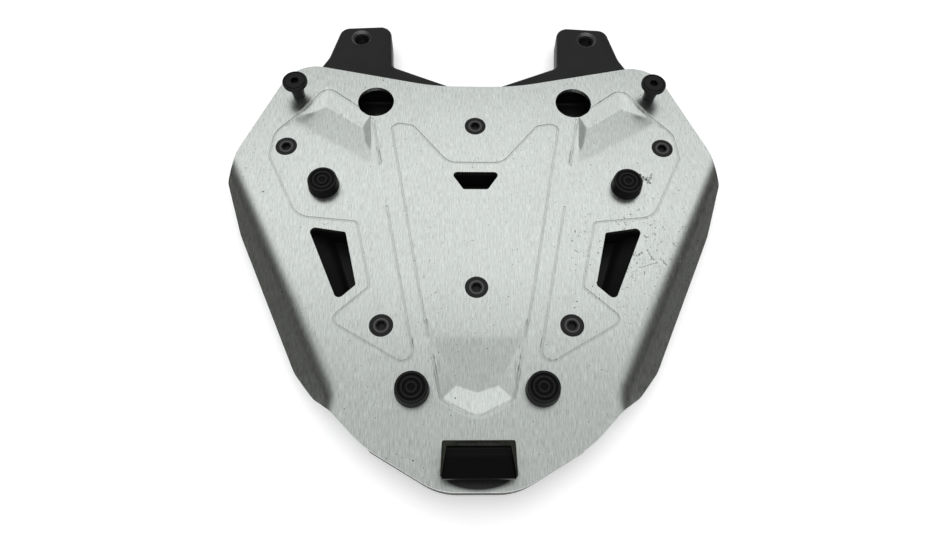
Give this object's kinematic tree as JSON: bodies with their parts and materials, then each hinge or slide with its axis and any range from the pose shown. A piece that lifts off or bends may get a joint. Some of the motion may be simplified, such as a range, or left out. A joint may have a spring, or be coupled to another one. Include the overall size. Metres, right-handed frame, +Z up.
{
  "type": "top case mounting plate",
  "caption": "pressed aluminium plate on a die-cast carrier with two bolting ears, rubber rest pads, hook pins and a latch striker, that a motorbike top case clips onto",
  "frame": {"origin": "middle of the length and width, on the flat underside that the part rests on", "axes": "+Y to the front of the motorbike, where the two ears are; +X to the right; +Z up"},
  "size_m": [0.3214, 0.3301, 0.042],
  "materials": {
    "brushed_sheet": "brushed along the length, clear coated",
    "cast_black": "satin black powder coat",
    "pin_black": "satin black",
    "screw_dark": "dark zinc",
    "fastener_steel": "plain zinc",
    "pad_rubber": "matte black",
    "latch_black": "gloss black"
  },
  "bodies": {
    "root": {"carrier": "cast_black", "front_pin_left": "pin_black", "front_pin_right": "pin_black", "latch_screw_left": "fastener_steel", "latch_screw_right": "fastener_steel", "latch_striker": "latch_black", "pin_nut_left": "fastener_steel", "pin_nut_right": "fastener_steel", "pin_washer_left": "fastener_steel", "pin_washer_right": "fastener_steel", "plate_screw_centre": "screw_dark", "plate_screw_front": "screw_dark", "plate_screw_front_left": "screw_dark", "plate_screw_front_right": "screw_dark", "plate_screw_rear_left": "screw_dark", "plate_screw_rear_right": "screw_dark", "rest_pad_front_left": "pad_rubber", "rest_pad_front_right": "pad_rubber", "rest_pad_rear_left": "pad_rubber", "rest_pad_rear_right": "pad_rubber", "top_plate": "brushed_sheet"}
  },
  "joints": []
}
